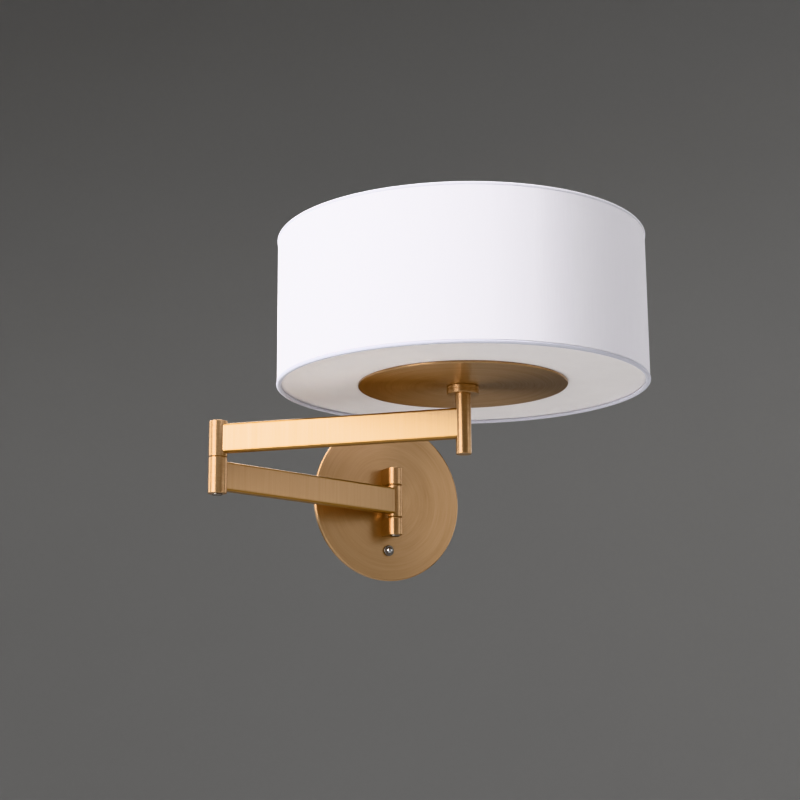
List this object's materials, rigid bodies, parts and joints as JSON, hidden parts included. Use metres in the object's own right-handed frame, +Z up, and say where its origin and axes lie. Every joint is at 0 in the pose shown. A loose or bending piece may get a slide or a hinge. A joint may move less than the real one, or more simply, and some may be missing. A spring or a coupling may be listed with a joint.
{
  "type": "swing arm wall sconce",
  "caption": "Wall light with a round plate, a two-part folding brass arm and a shallow white drum shade with a flat diffuser.",
  "frame": {"origin": "centre of the mounting face, on the wall, behind the middle of the round plate", "axes": "+Y into the wall, +Z up, +X to the right for a person facing the wall; the arms and shade stand out along -Y"},
  "size_m": [0.2632, 0.344, 0.2152],
  "materials": {
    "brushed_brass": "satin brushed, lacquered",
    "bronze_bush": "turned bearing bronze",
    "zinc_steel": "zinc plated",
    "green_screw": "green dyed earth screw",
    "painted_pan": "matt powder coat",
    "chrome_trim": "polished",
    "black_plastic": "moulded phenolic",
    "nylon": "natural nylon",
    "socket_brass": "pressed sheet",
    "white_fabric": "plain woven, laminated",
    "shade_lining": "white styrene sheet",
    "white_wire": "white powder coat",
    "opal_acrylic": "frosted opal sheet",
    "bulb_glass": "frosted",
    "connector_plastic": "moulded",
    "lead_insulation": "flexible lead insulation"
  },
  "bodies": {
    "mount": {"mounting_strap": "zinc_steel", "ground_screw": "green_screw", "canopy_pan": "painted_pan", "face_plate": "brushed_brass", "plate_screws": "zinc_steel", "lug_screws": "zinc_steel", "canopy_side_screws": "zinc_steel", "upper_lug": "brushed_brass", "lower_lug": "brushed_brass", "wall_pivot_tube": "zinc_steel", "wall_pivot_screw": "zinc_steel", "thrust_washers": "zinc_steel", "switch_body": "black_plastic", "switch_bushing": "chrome_trim", "switch_nut": "chrome_trim", "wire_connectors": "connector_plastic", "canopy_leads": "lead_insulation"},
    "switch_button": {"switch_plunger": "chrome_trim"},
    "lower_arm": {"wall_barrel": "brushed_brass", "wall_bushes": "bronze_bush", "lower_arm_tube": "brushed_brass", "elbow_lower_barrel": "brushed_brass", "elbow_foot_screw": "zinc_steel", "elbow_pivot_tube": "zinc_steel", "elbow_friction_washer": "nylon", "elbow_spring_washer": "zinc_steel", "elbow_lock_ring": "zinc_steel", "lower_arm_leads": "lead_insulation"},
    "upper_arm": {"elbow_upper_barrel": "brushed_brass", "elbow_lower_bush": "bronze_bush", "elbow_upper_bush": "bronze_bush", "elbow_top_cap": "brushed_brass", "upper_arm_tube": "brushed_brass", "stem_tube": "brushed_brass", "stem_plug": "brushed_brass", "collar": "brushed_brass", "threaded_nipple": "zinc_steel", "brass_disc": "brushed_brass", "diffuser": "opal_acrylic", "shade_spider": "white_wire", "shade_fabric": "white_fabric", "shade_liner": "shade_lining", "shade_hems": "white_fabric", "shade_top_ring": "zinc_steel", "lock_nut": "zinc_steel", "lamp_socket": "black_plastic", "socket_shell": "socket_brass", "bulb_base": "zinc_steel", "bulb_glass": "bulb_glass", "upper_arm_leads": "lead_insulation"}
  },
  "joints": [
    {"name": "wall_pivot", "type": "hinge", "parent": "mount", "child": "lower_arm", "pos_m": [0, -0.0337, -0.0022], "axis": [0, 0, 1], "range_deg": [-15, 65]},
    {"name": "elbow_pivot", "type": "hinge", "parent": "lower_arm", "child": "upper_arm", "pos_m": [-0.1703, -0.09201, 0.01095], "axis": [0, 0, 1], "range_deg": [-90, 5]},
    {"name": "switch_push", "type": "slide", "parent": "mount", "child": "switch_button", "axis": [0, 1, 0], "range_m": [0, 0.0012], "stiffness_N_per_m": 600, "springref_m": -0.002}
  ]
}
